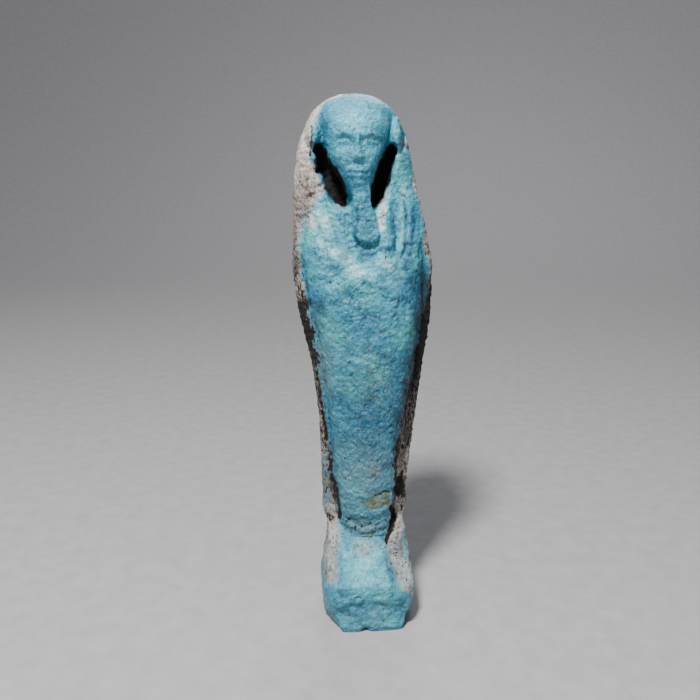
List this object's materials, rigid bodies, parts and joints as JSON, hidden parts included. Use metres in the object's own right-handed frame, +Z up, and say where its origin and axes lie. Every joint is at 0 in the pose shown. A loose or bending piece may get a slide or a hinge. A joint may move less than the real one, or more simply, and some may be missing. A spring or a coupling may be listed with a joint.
{
  "type": "ushabti figurine",
  "caption": "Small moulded faience ushabti, a wrapped standing figure with wig, beard, crossed arms, back pillar and foot base, worn turquoise glaze.",
  "frame": {"origin": "middle of the flat underside of the base", "axes": "+Z up the figure's height, -Y the way the face and toes point, +X to the viewer's right when looking at the face"},
  "size_m": [0.0237, 0.0178, 0.09],
  "materials": {
    "glazed_faience": "mottled turquoise copper glaze, worn half matt, over a pale sandy quartz body that shows on the sides"
  },
  "bodies": {
    "root": {"ushabti_figure": "glazed_faience"}
  },
  "joints": []
}
